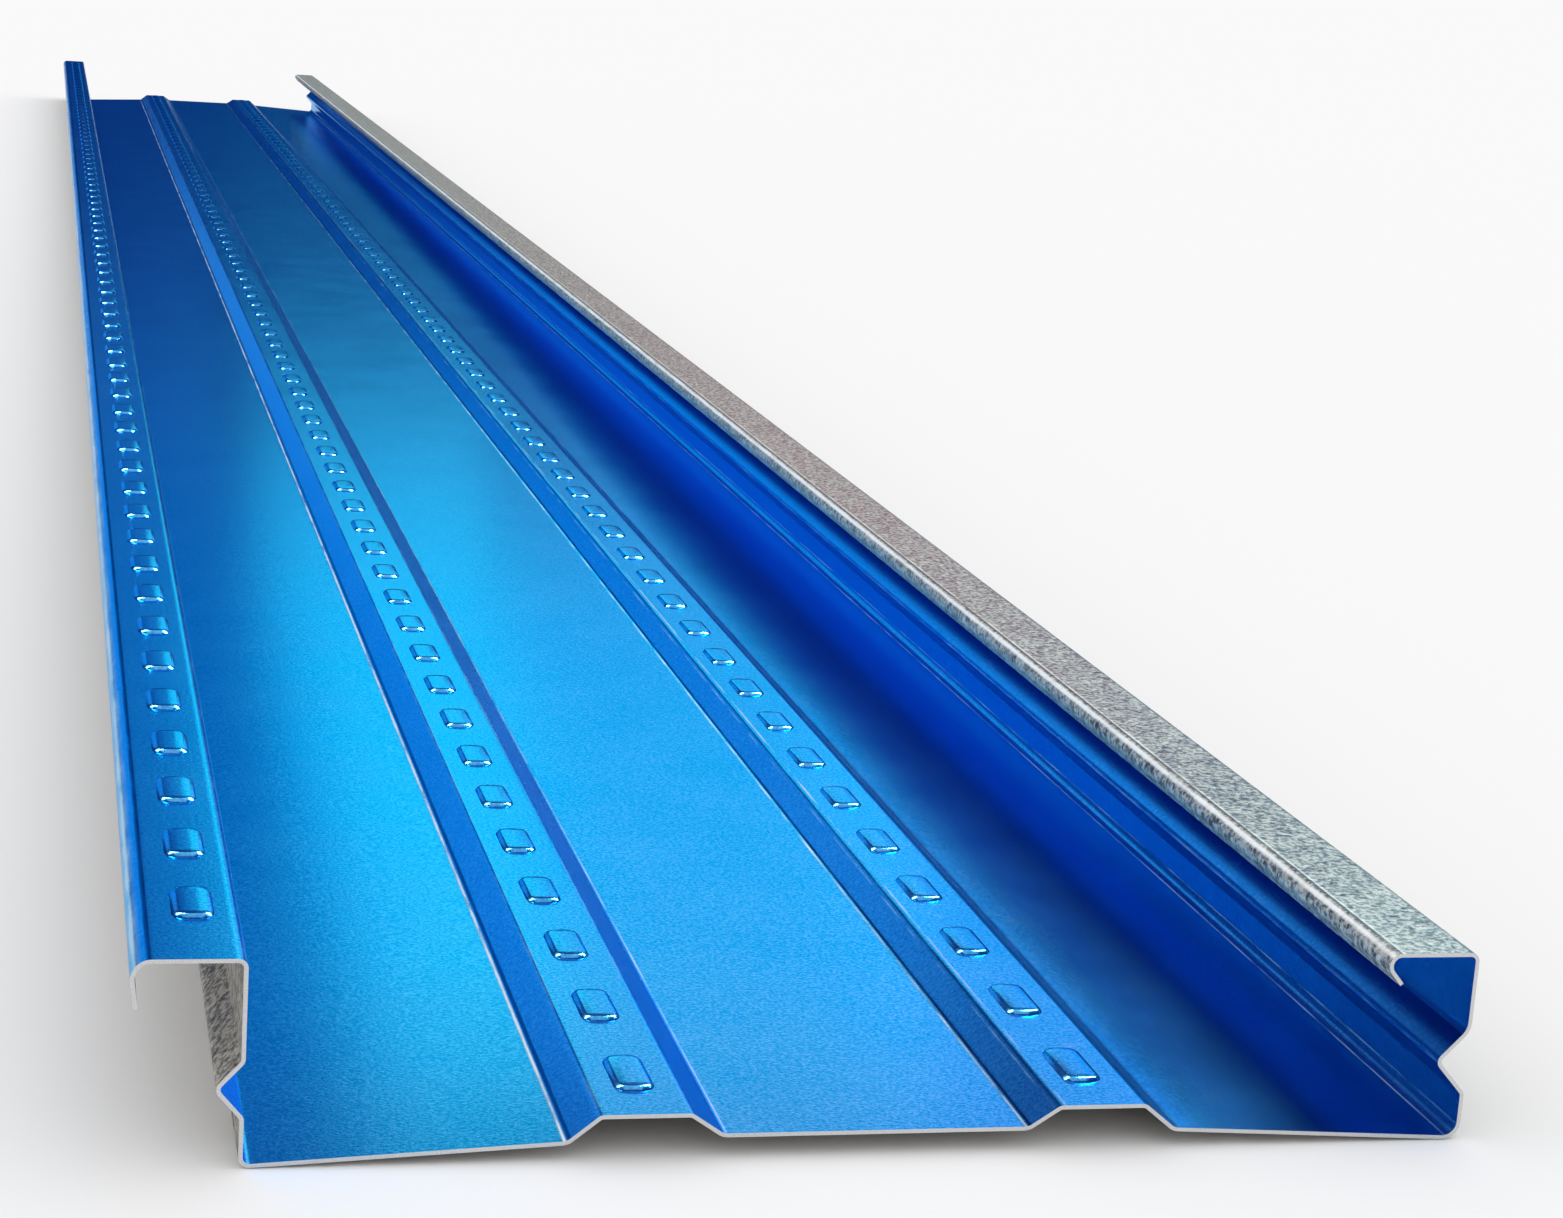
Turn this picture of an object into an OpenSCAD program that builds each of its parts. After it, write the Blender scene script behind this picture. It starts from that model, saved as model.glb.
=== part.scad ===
// Single-pan steel floor decking sheet: a wide pan between two upright webs,
// two stiffening ribs in the pan, a cap flange on one side that closes over
// the return flange of the next sheet, and rows of pressed embossments.
// Millimetres. The sheet runs along Y, stands on Z = 0 and is centred on X and Y.

/* [Sheet] */
// Length of the cut sheet
sheet_l = 3600; // [1800:48:4800]
// Cover width from one sheet to the next
cover_w = 300; // [260:5:360]
// Height to the top of the cap flange
deck_h = 50; // [46:1:60]
// Thickness of the coated steel
steel_t = 1; // [0.8:0.05:1.2]

/* [Side laps] */
// Width of the cap flange over its lip and web
cap_w = 26; // [24:0.5:30]
// Depth of the cap's lip below the top of the cap
cap_lip_h = 11.5; // [10:0.5:14]
// Lean of the cap's lip toward the web, in degrees
cap_lip_lean = 7; // [0:1:10]
// Outside bend radius at the cap's outer edge
cap_r = 4.7; // [3.5:0.1:6]
// Free play between a cap and the return flange that it closes over
lap_gap = 0.4; // [0.2:0.1:1]
// Outside bend radius of the return flange's curl
curl_r = 3.2; // [2.6:0.1:4]
// Straight length of the lip that turns back under the curl
curl_lip_l = 4; // [3:0.5:6]
// Angle of that lip below the level, in degrees
curl_lip_a = 50; // [40:5:70]

/* [Web kinks] */
// Height of the lower end of each kink
kink_low_z = 12; // [10:0.5:14]
// Height of the kink's tip on the cap side
kink_tip_z = 19; // [17:0.5:21]
// Depth of the kink on the cap side
kink_d = 6; // [4:0.5:7]
// Rise from the kink's tip to its upper end on the cap side
kink_rise = 6.5; // [5:0.5:8]

/* [Pan] */
// Width of each pan rib at its base
rib_base_w = 37; // [30:1:44]
// Width of each pan rib at its top
rib_top_w = 21.5; // [16:0.5:26]
// Height of each pan rib above the pan
rib_h = 5.7; // [4:0.1:8]
// Rise of the middle of the pan above its edges
pan_crown = 4.8; // [0:0.2:8]
// Outside bend radius at the foot of the cap side's web
foot_r = 2.6; // [2:0.1:5]
// Outside bend radius at the foot of the return flange's web
foot_r2 = 4.5; // [2.5:0.1:6]

/* [Embossments] */
// Spacing of the embossments along each row
emb_pitch = 48; // [40:1:64]
// Length of an embossment along the sheet
emb_l = 23; // [16:1:28]
// Width of an embossment across the sheet
emb_w = 10; // [7:0.5:12]
// Height of an embossment above its flange
emb_h = 1.7; // [1.2:0.1:2.5]
// First embossment's centre from the sheet's front end, on the cap
cap_emb_first = 40; // [24:1:64]
// First embossment's centre from the sheet's front end, on the pan ribs
rib_emb_first = 26; // [20:1:64]

/* [Hidden] */

// Largest turn between two points of a bend, in degrees
bend_step = 15;
// Centre-line radius of the tight bends at ribs and kinks
tight_r = 1.5 * steel_t + 0.3;
// Centre lines of the two webs, the second set in by one thickness so that the next web lies against it
web_a = 0;
web_b = cover_w - steel_t;
// Rib centres, the same distance from either web
rib_a = 0.3125 * web_b;
rib_b = web_b - rib_a;
// Centre-line levels of the cap, of the return flange below it, and of the pan
cap_z = deck_h - steel_t / 2;
return_z = cap_z - steel_t - lap_gap;
strip_rise = 0.78 * pan_crown;
// Centre-line ends of the cap and of the return flange, which clears the next sheet's lip by the gap
cap_x = web_a - (cap_w - steel_t);
return_x = cover_w + cap_x + steel_t + lap_gap;
// A lip that leans in puts the cap's corner a little outside its outermost line
cap_m = cap_r - steel_t / 2;
cap_corner_x = cap_x - cap_m * (tan(45 + cap_lip_lean / 2) - 1);
// A strip that slopes up from the web puts the foot's corner a little below the sheet's lowest line
strip_a = atan(strip_rise / (rib_a - rib_base_w / 2));
function foot_z(r) = steel_t / 2 - (r - steel_t / 2) * (tan(45 + strip_a / 2) - 1);
// Kink on the return side, deeper and taller so that the cap side's kink drops into it
kink2_d = kink_d + 1.6 * steel_t;
kink2_tip_z = kink_tip_z + 1.4 * steel_t;
kink2_rise = kink_rise + 1.6 * steel_t;
rib_top_z = steel_t / 2 + (strip_rise + pan_crown) / 2 + rib_h;
// The curl's corner lies off the flange's end by its own tangent length
curl_turn = 180 - curl_lip_a;
curl_m = curl_r - steel_t / 2;
curl_reach = curl_m * tan(curl_turn / 2);
curl_x = return_x - (curl_reach - curl_m);

// Part of an embossment's height that its arched top takes, and the radius of that arch
emb_crown = 0.25 * emb_h;
emb_arch_r = (emb_w * emb_w / 4 + emb_crown * emb_crown) / (2 * emb_crown);
// Run of an embossment's steep walls from its foot to the level of its top
emb_run = 0.6 * emb_h;

// Corners of the section's centre line from lip to lip: across, up, bend radius
corners = [
    [cap_corner_x + (cap_lip_h - steel_t / 2) * tan(cap_lip_lean), deck_h - cap_lip_h, 0],
    [cap_corner_x, cap_z, cap_m],
    [web_a, cap_z, tight_r],
    [web_a, kink_tip_z + kink_rise, tight_r],
    [web_a - kink_d, kink_tip_z, tight_r],
    [web_a, kink_low_z, tight_r],
    [web_a, foot_z(foot_r), foot_r - steel_t / 2],
    [rib_a - rib_base_w / 2, steel_t / 2 + strip_rise, 2 * tight_r],
    [rib_a - rib_top_w / 2, rib_top_z, tight_r],
    [rib_a + rib_top_w / 2, rib_top_z, tight_r],
    [rib_a + rib_base_w / 2, steel_t / 2 + pan_crown, 2 * tight_r],
    [rib_b - rib_base_w / 2, steel_t / 2 + pan_crown, 2 * tight_r],
    [rib_b - rib_top_w / 2, rib_top_z, tight_r],
    [rib_b + rib_top_w / 2, rib_top_z, tight_r],
    [rib_b + rib_base_w / 2, steel_t / 2 + strip_rise, 2 * tight_r],
    [web_b, foot_z(foot_r2), foot_r2 - steel_t / 2],
    [web_b, kink_low_z, tight_r],
    [web_b - kink2_d, kink2_tip_z, tight_r],
    [web_b, kink2_tip_z + kink2_rise, 3 * tight_r],
    [web_b, return_z, tight_r],
    [curl_x, return_z, curl_m],
    [curl_x + (curl_reach + curl_lip_l) * cos(curl_lip_a),
     return_z - (curl_reach + curl_lip_l) * sin(curl_lip_a), 0]
];

function xz(p) = [p[0], p[1]];
function heading(a, b) = atan2(b[1] - a[1], b[0] - a[0]);
function turn(h0, h1) = let (k = h1 - h0) k > 180 ? k - 360 : k < -180 ? k + 360 : k;

// One corner's bend, as points with the direction of travel at each
function bend(a, b, c) = let (
    h0 = heading(a, b),
    k = turn(h0, heading(b, c)),
    s = k > 0 ? 1 : -1,
    m = xz(b) - b[2] * tan(abs(k) / 2) * [cos(h0), sin(h0)] + s * b[2] * [-sin(h0), cos(h0)],
    n = max(2, ceil(abs(k) / bend_step)))
    [for (i = [0:n]) let (h = h0 + k * i / n)
        [m[0] + s * b[2] * sin(h), m[1] - s * b[2] * cos(h), h]];

last = len(corners) - 1;
line = concat(
    [[corners[0][0], corners[0][1], heading(corners[0], corners[1])]],
    [for (i = [1:last - 1]) each bend(corners[i - 1], corners[i], corners[i + 1])],
    [[corners[last][0], corners[last][1], heading(corners[last - 1], corners[last])]]);

// The section's outline: the centre line set off by half a thickness to either side
outline = concat(
    [for (p = line) [p[0] - steel_t / 2 * sin(p[2]), p[1] + steel_t / 2 * cos(p[2])]],
    [for (i = [len(line) - 1:-1:0]) let (p = line[i])
        [p[0] + steel_t / 2 * sin(p[2]), p[1] - steel_t / 2 * cos(p[2])]]);
x_mid = (min([for (p = outline) p[0]]) + max([for (p = outline) p[0]])) / 2;
z_low = min([for (p = outline) p[1]]);

// Section swept along the sheet
module bent_sheet() {
    translate([-x_mid, sheet_l / 2, -z_low])
        rotate([90, 0, 0])
            linear_extrude(height = sheet_l)
                polygon(outline);
}

// One row of embossments on a level flange, as raised pads on a strip inside the steel.
// Each pad has steep walls all round and a top that is a low arch across the sheet.
// x and z are the flange's centre line.
module emboss_row(x, z, first) {
    n = floor((sheet_l - first - emb_l / 2 - 6) / emb_pitch) + 1;
    y0 = -sheet_l / 2 + first;
    foot = steel_t / 2 * emb_run / emb_h;
    top = steel_t / 2 + emb_h;
    base = -steel_t / 4;
    translate([x - x_mid, 0, z - z_low])
        intersection() {
            // Pads seen from the side, all in one outline
            rotate([90, 0, 90])
                linear_extrude(height = 2 * emb_w, center = true)
                    polygon(concat(
                        [for (i = [0:n - 1]) let (y = y0 + i * emb_pitch) each [
                            [y - emb_l / 2 - foot, 0],
                            [y - emb_l / 2 + emb_run, top],
                            [y + emb_l / 2 - emb_run, top],
                            [y + emb_l / 2 + foot, 0]]],
                        [[y0 + (n - 1) * emb_pitch + emb_l / 2 + foot, base],
                         [y0 - emb_l / 2 - foot, base]]));
            // A pad seen along the sheet: side walls under the arch
            rotate([90, 0, 0])
                linear_extrude(height = sheet_l, center = true)
                    intersection() {
                        polygon([
                            [-emb_w / 2 - foot, base], [emb_w / 2 + foot, base],
                            [emb_w / 2 + foot, 0], [emb_w / 2 - emb_run, top],
                            [-emb_w / 2 + emb_run, top], [-emb_w / 2 - foot, 0]]);
                        translate([0, top - emb_arch_r]) circle(r = emb_arch_r, $fn = 120);
                    }
        }
}

module emboss_rows() {
    emboss_row((cap_x + web_a) / 2 + 2, cap_z, cap_emb_first);
    emboss_row(rib_a, rib_top_z, rib_emb_first);
    emboss_row(rib_b, rib_top_z, rib_emb_first);
}

module decking_sheet() {
    color([0.12, 0.45, 0.78])
        difference() {
            union() {
                bent_sheet();
                emboss_rows();
            }
            // Hollow backs of the embossments
            translate([0, 0, -steel_t]) emboss_rows();
        }
}

decking_sheet();
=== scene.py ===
# Steel floor decking sheet: one roll-formed sheet, blue lacquer on its upper face, bare zinc on its back.
import math
import bpy
import numpy as np
from mathutils import Matrix, Quaternion, Vector


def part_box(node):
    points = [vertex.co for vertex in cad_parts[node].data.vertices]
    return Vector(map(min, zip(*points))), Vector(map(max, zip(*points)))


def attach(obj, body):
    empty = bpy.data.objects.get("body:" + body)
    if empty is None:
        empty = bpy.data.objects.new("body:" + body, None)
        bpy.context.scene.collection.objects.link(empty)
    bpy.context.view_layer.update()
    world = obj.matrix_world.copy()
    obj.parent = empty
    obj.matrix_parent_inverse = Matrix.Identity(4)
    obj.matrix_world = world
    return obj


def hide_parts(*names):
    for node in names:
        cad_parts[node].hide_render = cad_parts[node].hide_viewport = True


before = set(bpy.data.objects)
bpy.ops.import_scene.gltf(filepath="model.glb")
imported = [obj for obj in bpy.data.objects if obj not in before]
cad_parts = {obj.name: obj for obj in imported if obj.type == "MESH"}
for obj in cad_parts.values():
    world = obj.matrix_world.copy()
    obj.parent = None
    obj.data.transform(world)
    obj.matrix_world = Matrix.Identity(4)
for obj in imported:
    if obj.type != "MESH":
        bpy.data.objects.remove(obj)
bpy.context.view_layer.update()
sheetLow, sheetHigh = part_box("decking_sheet")

# the sheet's section, in millimetres and degrees; its length comes from the frame
sheet = {
    "steel": 1.0,            # coated thickness
    "cover": 300.0,          # from one sheet to the next
    "deckHeight": 50.0,      # to the top of the cap
    "capWidth": 26.0,
    "capLip": 11.5,          # depth of the cap's lip
    "capLipLean": 7.0,
    "capBend": 4.7,          # outside radius
    "lapGap": 0.4,
    "curlBend": 3.2,         # outside radius of the return flange's curl
    "curlLip": 4.0,
    "curlAngle": 50.0,
    "kinkLow": 12.0,
    "kinkTip": 19.0,
    "kinkDepth": 6.0,
    "kinkRise": 6.5,
    "ribBase": 37.0,
    "ribTop": 21.5,
    "ribHeight": 5.7,
    "panCrown": 4.8,         # rise of the pan's middle above its edges
    "footBend": 2.6,
    "returnFootBend": 4.5,
    "tightBend": 1.8,        # centre-line radius at ribs and kinks
    "ribPlace": 0.3125,      # first rib's centre, as a share of the way between the webs
    "stripShare": 0.78,      # share of the crown that the outer strips climb
    "nestDepth": 1.6,        # the return kink is larger by these thicknesses, so the next sheet drops in
    "nestTip": 1.4,
    "nestRise": 1.6,
    "capRowShift": 2.0,      # the cap's pads lie this far right of its middle
    "bendStep": 9.0,         # largest turn between two columns of a bend
    "guard": 0.8,            # flat kept beside each bend so the shading stays crisp
    "sharpAngle": 42.0,      # edges that turn more than this stay crisp
}

# the pressed pads on the cap and on both pan ribs, in millimetres
pads = {
    "pitch": 48.0,
    "length": 23.0,
    "width": 10.0,
    "height": 1.05,
    "archShare": 0.1,        # share of the height that the top's arch takes
    "steep": 1.2,            # grade of the walls
    "cornerRound": 4.0,
    "capFirst": 40.0,        # first pad's centre from the front end
    "ribFirst": 26.0,
    "endClear": 6.0,         # flat left behind the last pad
    "across": (-5.0, -4.3, -3.4, -1.2, 1.2, 3.4, 4.3, 5.0),
    "along": (-11.5, -10.8, -9.9, -7.7, 7.7, 9.9, 10.8, 11.5),
}


# corners of the centre line from lip to lip as rows of x, z, bend radius
def sectionCorners():
    s = sheet
    t = s["steel"]
    tight = s["tightBend"]
    webB = s["cover"] - t
    ribA = s["ribPlace"] * webB
    ribB = webB - ribA
    capZ = s["deckHeight"] - t / 2
    backZ = capZ - t - s["lapGap"]
    stripRise = s["stripShare"] * s["panCrown"]
    capX = -(s["capWidth"] - t)
    backX = s["cover"] + capX + t + s["lapGap"]
    lean = math.radians(s["capLipLean"])
    capM = s["capBend"] - t / 2
    capCornerX = capX - capM * (math.tan(math.pi / 4 + lean / 2) - 1)
    stripAngle = math.atan(stripRise / (ribA - s["ribBase"] / 2))
    footDrop = math.tan(math.pi / 4 + stripAngle / 2) - 1
    footM = s["footBend"] - t / 2
    backFootM = s["returnFootBend"] - t / 2
    backDepth = s["kinkDepth"] + s["nestDepth"] * t
    backTip = s["kinkTip"] + s["nestTip"] * t
    backRise = s["kinkRise"] + s["nestRise"] * t
    ribZ = t / 2 + (stripRise + s["panCrown"]) / 2 + s["ribHeight"]
    curlA = math.radians(s["curlAngle"])
    curlM = s["curlBend"] - t / 2
    curlReach = curlM * math.tan((math.pi - curlA) / 2)
    curlX = backX - (curlReach - curlM)
    lipRun = curlReach + s["curlLip"]
    base, top = s["ribBase"] / 2, s["ribTop"] / 2
    outerZ, innerZ = t / 2 + stripRise, t / 2 + s["panCrown"]
    rows = [
        (capCornerX + (s["capLip"] - t / 2) * math.tan(lean), s["deckHeight"] - s["capLip"], 0),
        (capCornerX, capZ, capM),                       # 1 cap's outer bend
        (0, capZ, tight),
        (0, s["kinkTip"] + s["kinkRise"], tight),
        (-s["kinkDepth"], s["kinkTip"], tight),
        (0, s["kinkLow"], tight),
        (0, t / 2 - footM * footDrop, footM),           # 6 foot of the cap's web
        (ribA - base, outerZ, 2 * tight),               # 7 first rib
        (ribA - top, ribZ, tight),
        (ribA + top, ribZ, tight),
        (ribA + base, innerZ, 2 * tight),
        (ribB - base, innerZ, 2 * tight),               # 11 second rib
        (ribB - top, ribZ, tight),
        (ribB + top, ribZ, tight),
        (ribB + base, outerZ, 2 * tight),
        (webB, t / 2 - backFootM * footDrop, backFootM),  # 15 foot of the return web
        (webB, s["kinkLow"], tight),
        (webB - backDepth, backTip, tight),
        (webB, backTip + backRise, 3 * tight),
        (webB, backZ, tight),                           # 19 return flange
        (curlX, backZ, curlM),                          # 20 its curl
        (curlX + lipRun * math.cos(curlA), backZ - lipRun * math.sin(curlA), 0),
    ]
    return np.array(rows), (capX / 2 + s["capRowShift"], ribA, ribB)


# one bend: centre + r (sin h, -cos h) while the heading h turns from one straight to the next,
# with a guard column on the straight at either end
def bendColumns(before, corner, after):
    h0 = math.atan2(*(corner - before)[1::-1])
    h1 = math.atan2(*(after - corner)[1::-1])
    turn = (h1 - h0 + math.pi) % (2 * math.pi) - math.pi
    side = math.copysign(1, turn)
    r = corner[2]
    start = corner[:2] - r * math.tan(abs(turn) / 2) * np.array([math.cos(h0), math.sin(h0)])
    centre = start + side * r * np.array([-math.sin(h0), math.cos(h0)])
    count = max(3, math.ceil(abs(math.degrees(turn)) / sheet["bendStep"]))
    h = h0 + turn * np.linspace(0, 1, count + 1)
    x = centre[0] + side * r * np.sin(h)
    z = centre[1] - side * r * np.cos(h)
    g = sheet["guard"]
    first = (x[0] - g * math.cos(h0), z[0] - g * math.sin(h0), h0)
    last = (x[-1] + g * math.cos(h[-1]), z[-1] + g * math.sin(h[-1]), h[-1])
    return np.vstack([first, np.column_stack([x, z, h]), last])


# pads on a strip: their height is the lower of the arch h (1 - share (a / w)^2) and of the walls steep * d,
# d in from the edge; each ring's corners are drawn in to an arc, (u, v) to max(u, v) (cos q, sin q)
def padGrid(across, along, first):
    p = pads
    halfLength, halfWidth, r = p["length"] / 2, p["width"] / 2, p["cornerRound"]
    count = math.floor((sheetLength - first - halfLength - p["endClear"]) / p["pitch"]) + 1
    number = np.clip(np.round((along - first) / p["pitch"]), 0, count - 1)
    a, b = across[None, :], (along - first - number * p["pitch"])[:, None]
    inside = np.minimum(halfWidth - np.abs(a), halfLength - np.abs(b))
    arch = p["height"] * (1 - p["archShare"] * (a / halfWidth) ** 2)
    rise = np.clip(np.minimum(p["steep"] * inside, arch), 0, None)
    u = np.clip((np.abs(a) - halfWidth) / r + 1, 0, 1)
    v = np.clip((np.abs(b) - halfLength) / r + 1, 0, 1)
    large = np.maximum(u, v)
    q = math.pi / 4 * np.minimum(u, v) / np.where(large > 0, large, 1)
    longer, shorter = large * np.cos(q), large * np.sin(q)
    onPad = inside > -0.01                              # a hair of slack for rounding
    drawX = np.where(onPad, np.sign(a) * r * (np.where(u >= v, longer, shorter) - u), 0)
    drawY = np.where(onPad, np.sign(b) * r * (np.where(u >= v, shorter, longer) - v), 0)
    return {"rise": rise, "drawX": drawX, "drawY": drawY}


sheetLength = (sheetHigh.y - sheetLow.y) * 1000
corners, rowX = sectionCorners()
bends = {i: bendColumns(corners[i - 1], corners[i], corners[i + 1]) for i in range(1, len(corners) - 1)}


# straight ends of the section keep the heading of their neighbour
def lipEnd(corner, heading):
    return np.array([[corner[0], corner[1], heading]])


firstEnd = lipEnd(corners[0], bends[1][0, 2])
lastEnd = lipEnd(corners[-1], bends[20][-1, 2])


# a pressed strip runs from one bend's guard to the next bend's guard, with the pads' own columns between
def stripColumns(i, centre):
    a, b = bends[i][-1], bends[i + 1][0]
    x = np.concatenate([[a[0]], centre + np.array(pads["across"]), [b[0]]])
    return np.column_stack([x, np.full(len(x), a[1]), np.zeros(len(x))])


# the plain runs between the pressed strips, by the numbers of the corners above
plainParts = [
    np.vstack([firstEnd, bends[1][:-1]]),
    np.vstack([bends[2][1:], *[bends[i] for i in range(3, 8)], bends[8][:-1]]),
    np.vstack([bends[9][1:], bends[10], bends[11], bends[12][:-1]]),
    np.vstack([bends[13][1:], *[bends[i] for i in range(14, 21)], lastEnd]),
]
strips = [
    {"columns": stripColumns(1, rowX[0]), "centre": rowX[0], "first": pads["capFirst"]},
    {"columns": stripColumns(8, rowX[1]), "centre": rowX[1], "first": pads["ribFirst"]},
    {"columns": stripColumns(12, rowX[2]), "centre": rowX[2], "first": pads["ribFirst"]},
]
coarseY = np.linspace(0, sheetLength, round(sheetLength / pads["pitch"]) + 1)
segments = len(coarseY) - 1


# stations along a pressed strip: every pitch line and the pads' own stations, the same count in each pitch
def stripStations(first):
    offsets = (first + np.array(pads["along"])) % pads["pitch"]
    inPitch = np.unique(np.round(np.append(offsets, 0.0), 4))
    y = (coarseY[:-1, None] + inPitch[None, :]).ravel()
    return np.append(y, sheetLength), len(inPitch)


runs = []
for i, plain in enumerate(plainParts):
    flat = np.zeros((segments + 1, len(plain)))
    runs.append({"columns": plain, "y": coarseY, "step": 1, "rise": flat, "drawX": flat, "drawY": flat})
    if i < len(strips):
        strip = strips[i]
        y, step = stripStations(strip["first"])
        relief = padGrid(strip["columns"][:, 0] - strip["centre"], y, strip["first"])
        runs.append({"columns": strip["columns"], "y": y, "step": step, **relief})

allColumns = np.vstack([r["columns"] for r in runs])
developed = np.concatenate([[0], np.cumsum(np.hypot(*np.diff(allColumns[:, :2], axis=0).T))])
halfSteel = sheet["steel"] / 2
faceX = np.concatenate([allColumns[:, 0] - s * halfSteel * np.sin(allColumns[:, 2]) for s in (1, -1)])
faceZ = np.concatenate([allColumns[:, 1] + s * halfSteel * np.cos(allColumns[:, 2]) for s in (1, -1)])
midX, lowZ = (faceX.min() + faceX.max()) / 2, faceZ.min()

# vertices of both faces, run by run: the centre line set off by half a thickness, plus the pads' rise
points, uvs = [], []
base, column = 0, 0
for r in runs:
    c = r["columns"]
    across = developed[column:column + len(c)]
    column += len(c)
    shape = r["rise"].shape
    r["grid"] = []
    for s in (1, -1):
        x = c[:, 0] - s * halfSteel * np.sin(c[:, 2]) - midX
        z = c[:, 1] + s * halfSteel * np.cos(c[:, 2]) - lowZ
        y = r["y"] - sheetLength / 2
        xyz = np.stack([x[None, :] + r["drawX"], y[:, None] + r["drawY"], z[None, :] + r["rise"]], axis=-1)
        points.append(xyz.reshape(-1, 3) / 1000)
        uv = np.stack([across[None, :] + r["drawX"], y[:, None] + r["drawY"]], axis=-1)
        uvs.append(uv.reshape(-1, 2) / 1000)
        r["grid"].append(base + np.arange(shape[0] * shape[1]).reshape(shape))
        base += shape[0] * shape[1]
points, uvs = np.concatenate(points), np.concatenate(uvs)


# four corners of each cell of an index grid, round the way that faces up on the upper face
def gridFaces(g):
    return np.stack([g[:-1, :-1], g[:-1, 1:], g[1:, 1:], g[1:, :-1]], axis=-1).reshape(-1, 4)


# one long face per pitch where a plain column (two corners) meets a pressed strip's border (step + 1)
def seamFaces(plain, border, step, plainFirst):
    many = np.column_stack([border[i:len(border) - step + i:step] for i in range(step + 1)])
    if plainFirst:
        return np.column_stack([plain[:-1], many, plain[1:]])
    return np.column_stack([many[:, 0], plain[:-1], plain[1:], many[:, :0:-1]])


faceGroups = []           # pairs of index rows and material number: 0 lacquer, 1 zinc, 2 sheared edge
for s in (0, 1):
    flip = slice(None, None, 1 - 2 * s)                # the lower face is wound the other way
    for i, r in enumerate(runs):
        faceGroups.append((gridFaces(r["grid"][s])[:, flip], s))
        if i + 1 < len(runs):
            here, there = r["grid"][s][:, -1], runs[i + 1]["grid"][s][:, 0]
            if r["step"] == 1:
                seam = seamFaces(here, there, runs[i + 1]["step"], True)
            else:
                seam = seamFaces(there, here, r["step"], False)
            faceGroups.append((seam[:, flip], s))
for end, order in ((0, (3, 2, 1, 0)), (-1, (0, 1, 2, 3))):
    upper = np.concatenate([r["grid"][0][end] for r in runs])
    lower = np.concatenate([r["grid"][1][end] for r in runs])
    cut = np.column_stack([upper[:-1], upper[1:], lower[1:], lower[:-1]])
    faceGroups.append((cut[:, order], 2))
for run, side, order in ((runs[0], 0, (0, 1, 2, 3)), (runs[-1], -1, (3, 2, 1, 0))):
    upper, lower = run["grid"][0][:, side], run["grid"][1][:, side]
    lip = np.column_stack([upper[:-1], upper[1:], lower[1:], lower[:-1]])
    faceGroups.append((lip[:, order], 2))

loops = np.concatenate([f.ravel() for f, m in faceGroups])
sizes = np.concatenate([np.full(len(f), f.shape[1]) for f, m in faceGroups])
kinds = np.concatenate([np.full(len(f), m) for f, m in faceGroups])
mesh = bpy.data.meshes.new("lacquered_decking_sheet")
mesh.vertices.add(len(points))
mesh.vertices.foreach_set("co", points.ravel())
mesh.loops.add(len(loops))
mesh.loops.foreach_set("vertex_index", loops)
mesh.polygons.add(len(sizes))
mesh.polygons.foreach_set("loop_start", np.concatenate([[0], np.cumsum(sizes)[:-1]]))
mesh.polygons.foreach_set("material_index", kinds)
mesh.update(calc_edges=True)
uvLayer = mesh.uv_layers.new(name="developed")
uvLayer.data.foreach_set("uv", uvs[loops].ravel())
mesh.polygons.foreach_set("use_smooth", np.ones(len(sizes), bool))
mesh.set_sharp_from_angle(angle=math.radians(sheet["sharpAngle"]))
decking = bpy.data.objects.new("lacquered_decking_sheet", mesh)
bpy.context.collection.objects.link(decking)
triangles = int(np.sum(sizes - 2))
print("sheet meshed:", len(points), "points,", triangles, "triangles, valid", not mesh.validate())


def addNode(tree, kind, x, y, **settings):
    node = tree.nodes.new(kind)
    node.location = (x, y)
    for name, value in settings.items():
        setattr(node, name, value)
    return node


def wire(tree, source, target):
    tree.links.new(source, target)


def mathNode(tree, operation, x, y, first, second=None, third=None, clamp=False):
    node = addNode(tree, "ShaderNodeMath", x, y, operation=operation, use_clamp=clamp)
    for socket, value in zip(node.inputs, (first, second, third)):
        if isinstance(value, bpy.types.NodeSocket):
            wire(tree, value, socket)
        elif value is not None:
            socket.default_value = value
    return node.outputs[0]


def mixColour(tree, x, y, factor, first, second):
    node = addNode(tree, "ShaderNodeMix", x, y, data_type="RGBA")
    for socket, value in zip((node.inputs[0], node.inputs[6], node.inputs[7]), (factor, first, second)):
        if isinstance(value, bpy.types.NodeSocket):
            wire(tree, value, socket)
        elif isinstance(value, (int, float)):
            socket.default_value = value
        else:
            socket.default_value = (*value, 1)
    return node.outputs[2]


def newGroup(name, inputs, outputs):
    group = bpy.data.node_groups.new(name, "ShaderNodeTree")
    for label, kind, value in inputs:
        socket = group.interface.new_socket(label, in_out="INPUT", socket_type=kind)
        if value is not None:
            socket.default_value = value
    for label, kind in outputs:
        group.interface.new_socket(label, in_out="OUTPUT", socket_type=kind)
    return group, addNode(group, "NodeGroupInput", -900, 0), addNode(group, "NodeGroupOutput", 500, 0)


# scales per metre and strengths of the marks that the finishes share
marking = {
    "ragged": 900.0,             # noise that frays the spangle's cells
    "fray": (0.003, 0.003, 0.003),
    "streakSqueeze": (1, 0.03, 1),   # drawn out along the sheet
    "mottle": 22.0,
    "lineSqueeze": (1, 0.14, 1),
    "lineBreakup": 320.0,
    "lineGain": 3.5,
    "strokeWidth": 0.03,
    "strokePatch": 110.0,
    "strokeGain": 8.0,
}


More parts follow.
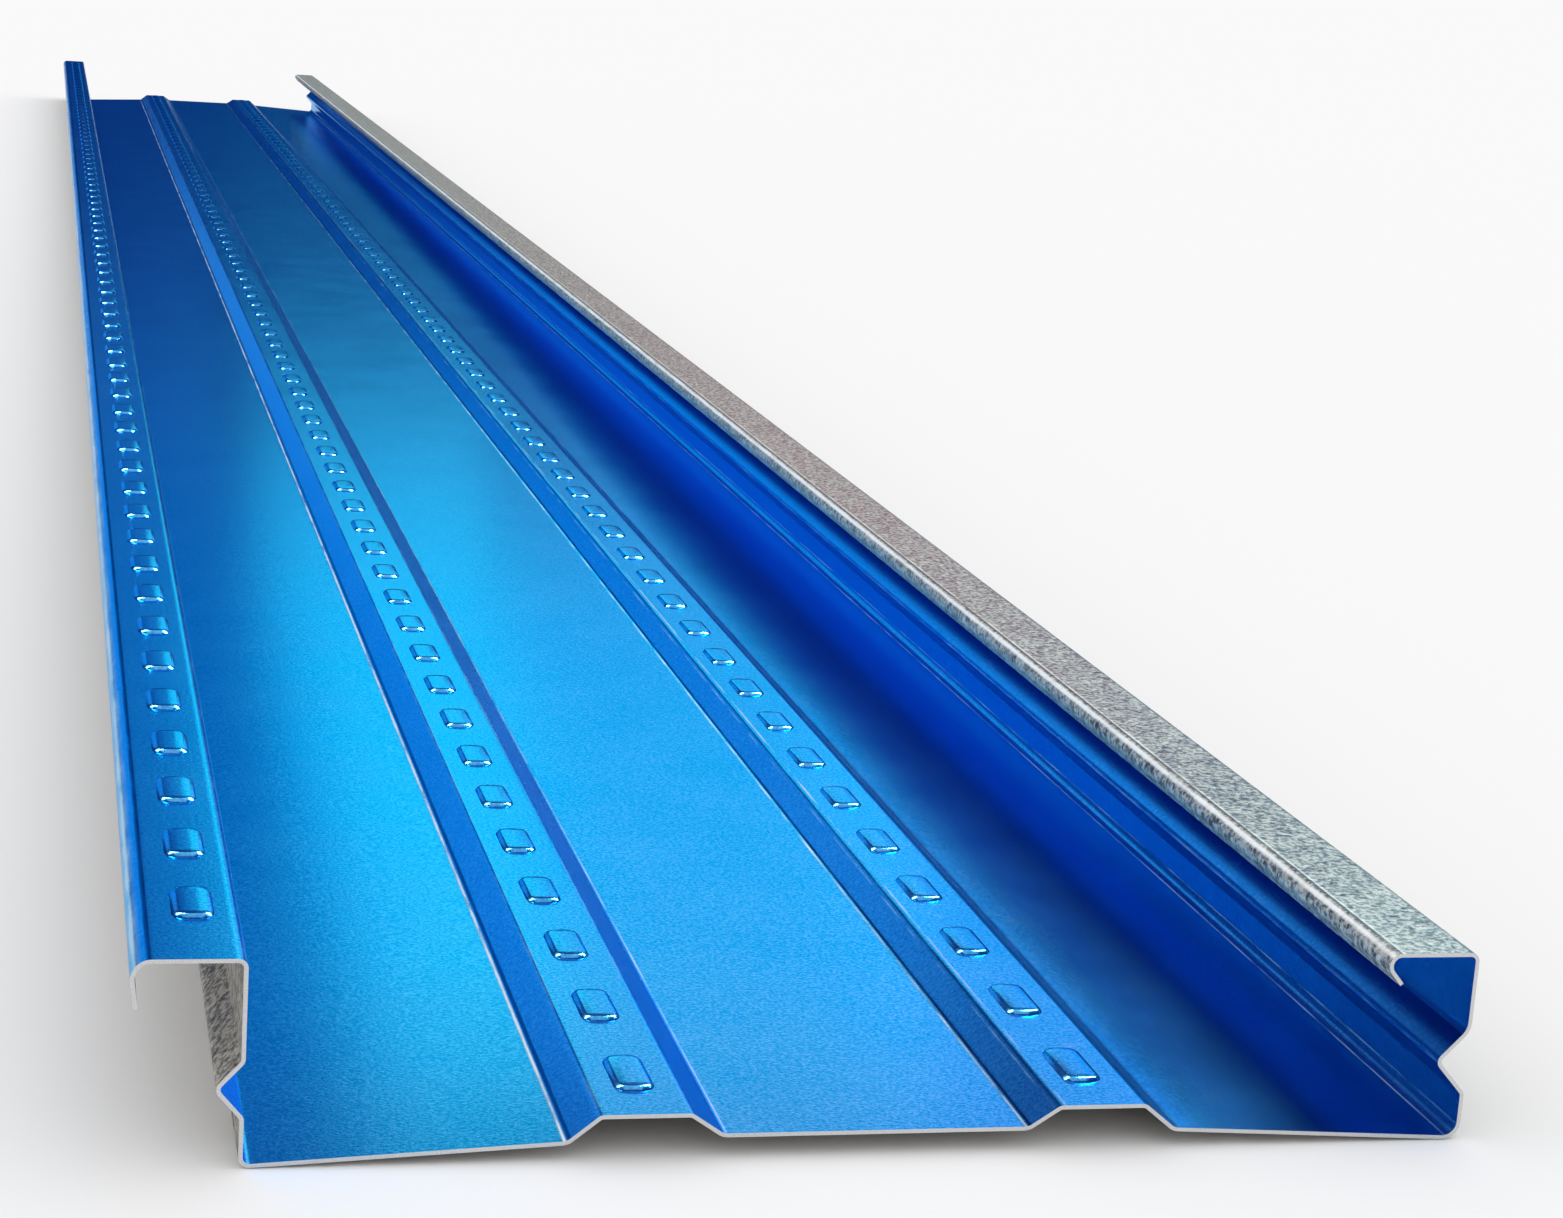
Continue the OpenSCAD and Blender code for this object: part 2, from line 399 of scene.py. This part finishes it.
# zinc spangle: the random tone of ragged cells
def spangleGroup():
    group, start, end = newGroup(
        "zincSpangle",
        [("Vector", "NodeSocketVector", None), ("Cells", "NodeSocketFloat", 300.0)],
        [("Tone", "NodeSocketFloat")],
    )
    ragged = addNode(group, "ShaderNodeTexNoise", -700, 200)
    ragged.inputs["Scale"].default_value = marking["ragged"]
    wire(group, start.outputs["Vector"], ragged.inputs["Vector"])
    shift = addNode(group, "ShaderNodeVectorMath", -500, 200, operation="MULTIPLY_ADD")
    shift.inputs[1].default_value = marking["fray"]
    wire(group, ragged.outputs["Color"], shift.inputs[0])
    wire(group, start.outputs["Vector"], shift.inputs[2])
    cells = addNode(group, "ShaderNodeTexVoronoi", -300, 200)
    wire(group, shift.outputs[0], cells.inputs["Vector"])
    wire(group, start.outputs["Cells"], cells.inputs["Scale"])
    split = addNode(group, "ShaderNodeSeparateColor", -100, 200)
    wire(group, cells.outputs["Color"], split.inputs["Color"])
    wire(group, split.outputs[0], end.inputs["Tone"])
    return group


# rolling marks: noise drawn out along the sheet, as streaks and as broad soft mottling
def rollMarkGroup():
    group, start, end = newGroup(
        "rollMarks",
        [("Vector", "NodeSocketVector", None), ("Fineness", "NodeSocketFloat", 400.0)],
        [("Streak", "NodeSocketFloat"), ("Mottle", "NodeSocketFloat")],
    )
    squeeze = addNode(group, "ShaderNodeVectorMath", -700, 100, operation="MULTIPLY")
    squeeze.inputs[1].default_value = marking["streakSqueeze"]
    wire(group, start.outputs["Vector"], squeeze.inputs[0])
    streak = addNode(group, "ShaderNodeTexNoise", -400, 100)
    streak.inputs["Detail"].default_value = 4
    wire(group, squeeze.outputs[0], streak.inputs["Vector"])
    wire(group, start.outputs["Fineness"], streak.inputs["Scale"])
    wire(group, streak.outputs["Fac"], end.inputs["Streak"])
    mottle = addNode(group, "ShaderNodeTexNoise", -400, -200)
    mottle.inputs["Scale"].default_value = marking["mottle"]
    mottle.inputs["Detail"].default_value = 5
    wire(group, start.outputs["Vector"], mottle.inputs["Vector"])
    wire(group, mottle.outputs["Fac"], end.inputs["Mottle"])
    return group


# line along a bend, for worn paint, painted highlights and painted shade: strength (1 - |u - place| / half)
# at one developed width u, broken up by noise along it
def wearAndLightLineGroup():
    group, start, end = newGroup(
        "wearAndLightLine",
        [
            ("Vector", "NodeSocketVector", None),
            ("Across", "NodeSocketFloat", 0.0),
            ("Place", "NodeSocketFloat", 0.0),
            ("Half", "NodeSocketFloat", 0.001),
            ("Unbroken", "NodeSocketFloat", 0.5),
            ("Strength", "NodeSocketFloat", 1.0),
        ],
        [("Mask", "NodeSocketFloat")],
    )
    gap = mathNode(group, "SUBTRACT", -700, 100, start.outputs["Across"], start.outputs["Place"])
    apart = mathNode(group, "ABSOLUTE", -540, 100, gap)
    away = mathNode(group, "DIVIDE", -380, 100, apart, start.outputs["Half"])
    line = mathNode(group, "SUBTRACT", -220, 100, 1.0, away, clamp=True)
    squeeze = addNode(group, "ShaderNodeVectorMath", -720, -200, operation="MULTIPLY")
    squeeze.inputs[1].default_value = marking["lineSqueeze"]
    wire(group, start.outputs["Vector"], squeeze.inputs[0])
    broken = addNode(group, "ShaderNodeTexNoise", -540, -200)
    broken.inputs["Scale"].default_value = marking["lineBreakup"]
    broken.inputs["Detail"].default_value = 5
    wire(group, squeeze.outputs[0], broken.inputs["Vector"])
    lift = mathNode(group, "ADD", -220, -200, broken.outputs["Fac"], start.outputs["Unbroken"])
    kept = mathNode(group, "MULTIPLY", -60, 0, line, mathNode(group, "SUBTRACT", -60, -200, lift, 0.5))
    full = mathNode(group, "MULTIPLY", 140, 0, kept, marking["lineGain"], clamp=True)
    wire(group, mathNode(group, "MULTIPLY", 300, 0, full, start.outputs["Strength"]), end.inputs["Mask"])
    return group


# grain of either finish: fine noise with its contrast raised, as (n - 0.5) * contrast + 0.5
def grainGroup():
    group, start, end = newGroup(
        "lacquerGrain",
        [
            ("Vector", "NodeSocketVector", None),
            ("Fineness", "NodeSocketFloat", 650.0),
            ("Contrast", "NodeSocketFloat", 2.4),
        ],
        [("Tone", "NodeSocketFloat"), ("Height", "NodeSocketFloat")],
    )
    fine = addNode(group, "ShaderNodeTexNoise", -600, 0)
    fine.inputs["Detail"].default_value = 2
    fine.inputs["Roughness"].default_value = 0.62
    wire(group, start.outputs["Vector"], fine.inputs["Vector"])
    wire(group, start.outputs["Fineness"], fine.inputs["Scale"])
    centred = mathNode(group, "SUBTRACT", -380, 100, fine.outputs["Fac"], 0.5)
    swing = mathNode(group, "MULTIPLY", -200, 100, centred, start.outputs["Contrast"])
    wire(group, mathNode(group, "ADD", 0, 100, swing, 0.5, clamp=True), end.inputs["Tone"])
    wire(group, fine.outputs["Fac"], end.inputs["Height"])
    return group


# lighter strokes: short strokes where a wavering noise crosses its middle, 1 - |n - 0.5| / width, kept in
# patches
def strokeGroup():
    group, start, end = newGroup(
        "lighterStrokes",
        [("Vector", "NodeSocketVector", None), ("Strokes", "NodeSocketFloat", 150.0)],
        [("Mask", "NodeSocketFloat")],
    )
    waver = addNode(group, "ShaderNodeTexNoise", -700, 100)
    waver.inputs["Detail"].default_value = 3
    waver.inputs["Distortion"].default_value = 1.5
    wire(group, start.outputs["Vector"], waver.inputs["Vector"])
    wire(group, start.outputs["Strokes"], waver.inputs["Scale"])
    centred = mathNode(group, "SUBTRACT", -540, 100, waver.outputs["Fac"], 0.5)
    off = mathNode(group, "ABSOLUTE", -380, 100, centred)
    share = mathNode(group, "DIVIDE", -220, 100, off, marking["strokeWidth"])
    stroke = mathNode(group, "SUBTRACT", -60, 100, 1.0, share, clamp=True)
    patch = addNode(group, "ShaderNodeTexNoise", -540, -200)
    patch.inputs["Scale"].default_value = marking["strokePatch"]
    patch.inputs["Detail"].default_value = 2
    wire(group, start.outputs["Vector"], patch.inputs["Vector"])
    above = mathNode(group, "SUBTRACT", -380, -200, patch.outputs["Fac"], 0.5)
    kept = mathNode(group, "MULTIPLY", -220, -200, above, marking["strokeGain"], clamp=True)
    wire(group, mathNode(group, "MULTIPLY", 200, 0, stroke, kept), end.inputs["Mask"])
    return group


spangle, rollMarks, wearAndLightLine = spangleGroup(), rollMarkGroup(), wearAndLightLineGroup()
grain, strokeTexture = grainGroup(), strokeGroup()


def placeGroup(tree, group, x, y, **values):
    node = addNode(tree, "ShaderNodeGroup", x, y)
    node.node_tree = group
    for name, value in values.items():
        if isinstance(value, bpy.types.NodeSocket):
            wire(tree, value, node.inputs[name])
        else:
            node.inputs[name].default_value = value
    return node


def newMaterial(name):
    material = bpy.data.materials.new(name)
    material.use_nodes = True
    tree = material.node_tree
    tree.nodes.clear()
    shader = addNode(tree, "ShaderNodeBsdfPrincipled", 900, 0)
    wire(tree, shader.outputs[0], addNode(tree, "ShaderNodeOutputMaterial", 1200, 0).inputs["Surface"])
    place = addNode(tree, "ShaderNodeTexCoord", -1400, 0).outputs["Object"]
    return material, tree, shader, place


# width across the flattened sheet
def developedAcross(tree):
    flat = addNode(tree, "ShaderNodeUVMap", -1400, -500, uv_map="developed")
    across = addNode(tree, "ShaderNodeSeparateXYZ", -1200, -500)
    wire(tree, flat.outputs["UV"], across.inputs[0])
    return across.outputs["X"]


# bump on the shader's normal from a height of 0 to 1, which bumpDepth scales to metres
def addBump(tree, shader, height, spec):
    bump = addNode(tree, "ShaderNodeBump", 500, -300)
    bump.inputs["Strength"].default_value = spec["bump"]
    bump.inputs["Distance"].default_value = spec["bumpDepth"]
    wire(tree, height, bump.inputs["Height"])
    wire(tree, bump.outputs[0], shader.inputs["Normal"])


lacquer = {
    "deep": (0.05, 0.32, 0.65),
    "bright": (0.19, 0.58, 0.95),
    "edge": (0.22, 0.60, 0.90),      # tint at a glancing angle, where the film is crossed at length
    # white of worn paint and of painted highlights along the bends
    "bareAndHighlight": (0.80, 0.83, 0.85),
    # navy of the painted shade lines along the bends
    "bendShade": (0.004, 0.03, 0.14),
    "lighterTone": (0.34, 0.66, 0.98),
    "strokesFrom": -0.9,               # lighter strokes set in from here to the front end, in metres
    "strokesOver": 0.7,
    "strokesSide": 0.045,              # and to the right of here
    "strokesSpread": 20.0,
    "strokesLeast": 0.12,              # what is left of them elsewhere
    "strokeScale": 140.0,
    "strokesStrength": 0.55,
    "fineness": 1000.0,
    "contrast": 3.2,
    "grainShare": 0.65,              # tone from the grain, the rest from the mottling
    "mottleShare": 0.35,
    "streaks": 380.0,
    "streakHeight": 0.3,
    "rough": 0.16,
    "roughSwing": 0.05,
    "bump": 0.035,
    "bumpDepth": 0.0006,
}
# bare lines along the bends, partly worn paint and partly painted highlight: there the lacquer turns white
# and loses its metal, so the lines stay bright as glints in the bends; columns are bend, shift across and
# half width in millimetres, how unbroken, how strong
bareAndHighlightLines = [
    {"bend": 1, "shift": -0.8, "half": 2.2, "unbroken": 0.25, "strength": 0.5},
    {"bend": 2, "shift": 0.0, "half": 0.7, "unbroken": 0.00, "strength": 0.35},
    {"bend": 7, "shift": -0.5, "half": 0.7, "unbroken": 0.32, "strength": 1.0},
    {"bend": 8, "shift": 0.0, "half": 0.6, "unbroken": 0.05, "strength": 0.3},
    {"bend": 9, "shift": 0.2, "half": 0.5, "unbroken": 0.05, "strength": 0.35},
    {"bend": 10, "shift": 0.6, "half": 0.45, "unbroken": 0.15, "strength": 0.45},
    {"bend": 11, "shift": -0.5, "half": 0.6, "unbroken": 0.10, "strength": 0.9},
    {"bend": 12, "shift": -1.4, "half": 0.45, "unbroken": 0.05, "strength": 0.55},
    {"bend": 12, "shift": 1.2, "half": 0.45, "unbroken": 0.08, "strength": 0.6},
    {"bend": 14, "shift": 0.8, "half": 0.4, "unbroken": 0.05, "strength": 0.4},
    {"bend": 15, "shift": -2.6, "half": 0.45, "unbroken": 0.25, "strength": 0.6},
    {"bend": 15, "shift": 2.4, "half": 0.45, "unbroken": 0.15, "strength": 0.5},
    {"bend": 17, "shift": 0.0, "half": 0.6, "unbroken": 0.10, "strength": 0.4},
]
# painted shade: dark lines in and beside the bends, with the same columns
bendShadeLines = [
    {"bend": 1, "shift": -4.2, "half": 1.2, "unbroken": 0.40, "strength": 0.7},
    {"bend": 1, "shift": 2.6, "half": 0.7, "unbroken": 0.40, "strength": 0.85},
    {"bend": 7, "shift": 0.9, "half": 0.8, "unbroken": 0.50, "strength": 0.85},
    {"bend": 11, "shift": 0.6, "half": 0.6, "unbroken": 0.30, "strength": 0.8},
    {"bend": 12, "shift": -0.1, "half": 0.6, "unbroken": 0.20, "strength": 0.5},
    {"bend": 13, "shift": 2.2, "half": 1.8, "unbroken": 0.50, "strength": 0.6},
]


# developed width at the middle of a bend, in metres
def developedAt(i):
    spot = np.argmin(np.hypot(*(allColumns[:, :2] - bends[i][len(bends[i]) // 2, :2]).T))
    return float(developed[spot]) / 1000


# the strongest of a set of lines along the bends
def lineMask(tree, lines, place, across, x, y):
    mask = None
    for i, line in enumerate(lines):
        node = placeGroup(tree, wearAndLightLine, x, y - 260 * i, Vector=place, Across=across,
                          Place=developedAt(line["bend"]) + line["shift"] / 1000, Half=line["half"] / 1000,
                          Unbroken=line["unbroken"], Strength=line["strength"])
        here = node.outputs["Mask"]
        mask = here if mask is None else mathNode(tree, "MAXIMUM", x + 220, y - 260 * i, mask, here)
    return mask


def lacquerMaterial():
    spec = lacquer
    material, tree, shader, place = newMaterial("blueLacquer")
    across = developedAcross(tree)
    fine = placeGroup(tree, grain, -1000, 300, Vector=place,
                      Fineness=spec["fineness"], Contrast=spec["contrast"])
    marks = placeGroup(tree, rollMarks, -1000, 0, Vector=place, Fineness=spec["streaks"])
    grainy = mathNode(tree, "MULTIPLY", -700, 300, fine.outputs["Tone"], spec["grainShare"])
    tone = mathNode(tree, "MULTIPLY_ADD", -540, 300, marks.outputs["Mottle"], spec["mottleShare"], grainy)
    colour = mixColour(tree, -300, 300, tone, spec["deep"], spec["bright"])
    # lighter strokes of a paler blue, strongest from 0.9 m to the front end on the right-hand side
    spot = addNode(tree, "ShaderNodeSeparateXYZ", -1000, 700)
    wire(tree, place, spot.inputs[0])
    ahead = mathNode(tree, "SUBTRACT", -800, 800, spec["strokesFrom"], spot.outputs["Y"])
    front = mathNode(tree, "DIVIDE", -640, 800, ahead, spec["strokesOver"], clamp=True)
    right = mathNode(tree, "SUBTRACT", -800, 650, spot.outputs["X"], spec["strokesSide"])
    side = mathNode(tree, "MULTIPLY", -640, 650, right, spec["strokesSpread"], clamp=True)
    strokeReach = mathNode(tree, "MULTIPLY_ADD", -480, 720, front, side, spec["strokesLeast"])
    stroke = placeGroup(tree, strokeTexture, -1000, 1000, Vector=place, Strokes=spec["strokeScale"])
    lightened = mathNode(tree, "MULTIPLY", -300, 800, strokeReach, stroke.outputs["Mask"])
    lightened = mathNode(tree, "MULTIPLY", -140, 800, lightened, spec["strokesStrength"])
    colour = mixColour(tree, -100, 400, lightened, colour, spec["lighterTone"])
    # painted shade: dark lines along the bends
    bendShade = lineMask(tree, bendShadeLines, place, across, -1000, -3900)
    colour = mixColour(tree, 100, 300, bendShade, colour, spec["bendShade"])
    # partly worn paint, partly painted highlight along the bends: white, and no longer metal there
    bareAndHighlight = lineMask(tree, bareAndHighlightLines, place, across, -1000, -400)
    wire(tree, mixColour(tree, 300, 300, bareAndHighlight, colour, spec["bareAndHighlight"]), shader.inputs["Base Color"])
    wire(tree, mathNode(tree, "SUBTRACT", 500, 0, 1.0, bareAndHighlight), shader.inputs["Metallic"])
    shader.inputs["Specular Tint"].default_value = (*spec["edge"], 1)
    rough = mathNode(tree, "MULTIPLY_ADD", 100, 0, marks.outputs["Mottle"],
                     spec["roughSwing"], spec["rough"])
    wire(tree, rough, shader.inputs["Roughness"])
    height = mathNode(tree, "MULTIPLY_ADD", 100, -300, marks.outputs["Streak"], spec["streakHeight"],
                      fine.outputs["Height"])
    addBump(tree, shader, height, spec)
    return material


zinc = {
    "dark": (0.012, 0.014, 0.014),
    "light": (0.55, 0.52, 0.46),
    # white of the painted highlight along the curl
    "curlHighlight": (0.95, 0.95, 0.93),
    "cells": 380.0,
    "fineness": 600.0,
    "contrast": 8.0,
    "grainShare": 0.6,               # tone from the grain, the rest from the spangle
    "cellShare": 0.4,
    "streaks": 500.0,
    "rough": 0.38,
    "roughSwing": 0.2,
    "metallic": 0.05,                # dull from storage
    "specular": 0.2,
    "bump": 0.2,
    "bumpDepth": 0.0006,
}
# painted highlight lines along the return flange's curl
curlHighlightLines = [
    {"bend": 20, "shift": -1.4, "half": 0.9, "unbroken": 0.42, "strength": 0.85},
    {"bend": 20, "shift": -3.6, "half": 0.5, "unbroken": 0.30, "strength": 0.6},
]
shadeLines = [
    {"bend": 20, "shift": -2.9, "half": 0.5, "unbroken": 0.45, "strength": 0.8},
    {"bend": 19, "shift": 1.0, "half": 0.7, "unbroken": 0.40, "strength": 0.5},
]


def zincMaterial():
    spec = zinc
    material, tree, shader, place = newMaterial("bareZinc")
    across = developedAcross(tree)
    cells = placeGroup(tree, spangle, -1000, 300, Vector=place, Cells=spec["cells"])
    fine = placeGroup(tree, grain, -1000, 600, Vector=place,
                      Fineness=spec["fineness"], Contrast=spec["contrast"])
    marks = placeGroup(tree, rollMarks, -1000, 0, Vector=place, Fineness=spec["streaks"])
    spangled = mathNode(tree, "MULTIPLY", -700, 300, cells.outputs["Tone"], spec["cellShare"])
    tone = mathNode(tree, "MULTIPLY_ADD", -540, 300, fine.outputs["Tone"], spec["grainShare"], spangled)
    colour = mixColour(tree, -300, 300, tone, spec["dark"], spec["light"])
    shade = lineMask(tree, shadeLines, place, across, -1000, -1000)
    colour = mixColour(tree, -100, 300, shade, colour, spec["dark"])
    # painted highlight along the curl
    curlHighlight = lineMask(tree, curlHighlightLines, place, across, -1000, -400)
    wire(tree, mixColour(tree, 100, 300, curlHighlight, colour, spec["curlHighlight"]), shader.inputs["Base Color"])
    rough = mathNode(tree, "MULTIPLY_ADD", 100, 0, cells.outputs["Tone"],
                     spec["roughSwing"], spec["rough"])
    wire(tree, rough, shader.inputs["Roughness"])
    height = mathNode(tree, "ADD", 100, -300, fine.outputs["Height"], marks.outputs["Streak"])
    addBump(tree, shader, height, spec)
    shader.inputs["Metallic"].default_value = spec["metallic"]
    shader.inputs["Specular IOR Level"].default_value = spec["specular"]
    return material


cutEdge = {
    "dark": (0.45, 0.46, 0.46),
    "light": (0.90, 0.90, 0.88),
    "streaks": 2500.0,
    "rough": 0.3,
    "roughSwing": 0.2,
    "metallic": 0.95,
}


def cutEdgeMaterial():
    spec = cutEdge
    material, tree, shader, place = newMaterial("shearedEdge")
    marks = placeGroup(tree, rollMarks, -1000, 0, Vector=place, Fineness=spec["streaks"])
    colour = mixColour(tree, -300, 300, marks.outputs["Streak"], spec["dark"], spec["light"])
    wire(tree, colour, shader.inputs["Base Color"])
    rough = mathNode(tree, "MULTIPLY_ADD", 100, 0, marks.outputs["Mottle"],
                     spec["roughSwing"], spec["rough"])
    wire(tree, rough, shader.inputs["Roughness"])
    shader.inputs["Metallic"].default_value = spec["metallic"]
    return material


for make in (lacquerMaterial, zincMaterial, cutEdgeMaterial):
    decking.data.materials.append(make())
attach(decking, "root")
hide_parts("decking_sheet")
print("finishes on")

# pale floor under an even surround, and soft boxes that only the metal mirrors, in metres and degrees
studio = {
    "floor": (0.93, 0.93, 0.93),
    "floorSize": 160.0,
    "floorGap": 0.0002,                  # the floor lies this far below the sheet
    "surround": (1.02, 1.02, 1.03),      # what the floor sees
    "mirrored": (0.006, 0.035, 0.18),    # what the metal sees
    "wattsPerRadiance": 4.0,             # for each square metre of a soft box
}
softBoxes = {     # place and aim, lean to the right, width and length, radiance, colour
    "aheadLeftPanel": {"at": (-1.60, 5.7, 1.7), "aim": (0, -0.9, 0), "lean": 0, "size": (2.2, 2.8),
                       "radiance": 0.62, "colour": (0.2, 0.64, 1.0)},
    "aheadDimPanel": {"at": (0.03, 5.9, 2.1), "aim": (0, -0.9, 0), "lean": 10, "size": (0.62, 2.2),
                      "radiance": 0.32, "colour": (0.3, 0.68, 1.0)},
    "aheadInnerPanel": {"at": (0.75, 5.9, 2.22), "aim": (0, -0.9, 0), "lean": 10, "size": (0.82, 1.95),
                        "radiance": 1.3, "colour": (0.65, 1.0, 0.80)},
    "aheadPanel": {"at": (1.68, 5.8, 2.25), "aim": (0, -0.9, 0), "lean": 11, "size": (1.05, 2.0),
                   "radiance": 1.52, "colour": (1.0, 0.60, 0.56)},
    "aheadRightPanel": {"at": (2.45, 5.6, 2.0), "aim": (0, -0.9, 0), "lean": 14, "size": (0.75, 2.4),
                        "radiance": 1.4, "colour": (1.0, 0.50, 0.60)},
    "aheadOuterPanel": {"at": (3.15, 5.4, 2.0), "aim": (0, -0.9, 0), "lean": 14, "size": (0.65, 2.4),
                        "radiance": 1.1, "colour": (0.05, 0.50, 1.0)},
    "leftBox": {"at": (-1.10, -0.5, 2.0), "aim": (0, -0.5, 0), "lean": 0, "size": (0.44, 1.2),
                "radiance": 22.0, "colour": (1.0, 1.0, 0.9)},
    "rightBox": {"at": (0.67, -1.0, 1.0), "aim": (0, -1.0, 0), "lean": 0, "size": (0.16, 0.6),
                 "radiance": 120.0, "colour": (0.5, 0.9, 1.0)},
    "overheadPanel": {"at": (0.0, -1.0, 2.8), "aim": (0, -1.01, 0), "lean": 0, "size": (2.4, 3.0),
                      "radiance": 0.55, "colour": (0.8, 1.0, 1.0)},
    "behindPanel": {"at": (0.0, -5.2, 3.2), "aim": (0, -1.2, 0), "lean": 0, "size": (3.0, 2.4),
                    "radiance": 0.8, "colour": (0.9, 1.0, 1.0)},
}


def floorPlane():
    half = studio["floorSize"] / 2
    grid = np.array([(-half, -half, 0), (half, -half, 0), (half, half, 0), (-half, half, 0)])
    plane = bpy.data.meshes.new("floor")
    plane.from_pydata(grid - (0, 0, studio["floorGap"]), [], [(0, 1, 2, 3)])
    floor = bpy.data.objects.new("floor", plane)
    bpy.context.collection.objects.link(floor)
    material = bpy.data.materials.new("paleFloor")
    material.use_nodes = True
    shader = material.node_tree.nodes["Principled BSDF"]
    shader.inputs["Base Color"].default_value = (*studio["floor"], 1)
    shader.inputs["Roughness"].default_value = 1.0
    shader.inputs["Specular IOR Level"].default_value = 0.0
    plane.materials.append(material)


# box that faces its aim; it lights only what mirrors it, at watts = radiance * 4 * area
def softBox(name, spec):
    light = bpy.data.lights.new(name, "AREA")
    light.shape = "RECTANGLE"
    light.size, light.size_y = spec["size"]
    light.color = spec["colour"]
    light.energy = spec["radiance"] * studio["wattsPerRadiance"] * light.size * light.size_y
    lamp = bpy.data.objects.new(name, light)
    bpy.context.collection.objects.link(lamp)
    lamp.location = spec["at"]
    aim = Vector(spec["aim"]) - Vector(spec["at"])
    lean = Quaternion((0, 0, 1), math.radians(spec["lean"]))
    lamp.rotation_euler = (aim.to_track_quat("-Z", "Y") @ lean).to_euler()
    lamp.visible_diffuse = False


# even surround, bright for the floor and dim for what the metal mirrors
def surround():
    world = bpy.data.worlds.new("surround")
    world.use_nodes = True
    tree = world.node_tree
    path = addNode(tree, "ShaderNodeLightPath", -600, 0)
    shade = mixColour(tree, -300, 0, path.outputs["Is Glossy Ray"], studio["surround"], studio["mirrored"])
    wire(tree, shade, tree.nodes["Background"].inputs["Color"])
    bpy.context.scene.world = world


floorPlane()
for name, spec in softBoxes.items():
    softBox(name, spec)
surround()
bpy.context.scene.view_settings.view_transform = "Standard"

view = {
    "eye": (-0.1838, -2.475, 0.2827),
    "yaw": 13.658,           # degrees from +Y toward +X
    "pitch": -12.227,
    "roll": 3.918,
    "lens": 72.24,
    "sensor": 36,            # millimetres
    "near": 0.01,
    "far": 300,
}
camera = bpy.data.cameras.new("photoView")
camera.lens = view["lens"]
camera.sensor_width = view["sensor"]
camera.clip_start, camera.clip_end = view["near"], view["far"]
eye = bpy.data.objects.new("photoView", camera)
bpy.context.collection.objects.link(eye)
turn = Matrix.Rotation(-math.radians(view["yaw"]), 4, "Z")
tilt = Matrix.Rotation(math.radians(90 + view["pitch"]), 4, "X")
roll = Matrix.Rotation(math.radians(view["roll"]), 4, "Z")
eye.matrix_world = Matrix.Translation(Vector(view["eye"])) @ turn @ tilt @ roll
bpy.context.scene.camera = eye
print("floor, lights and camera set")
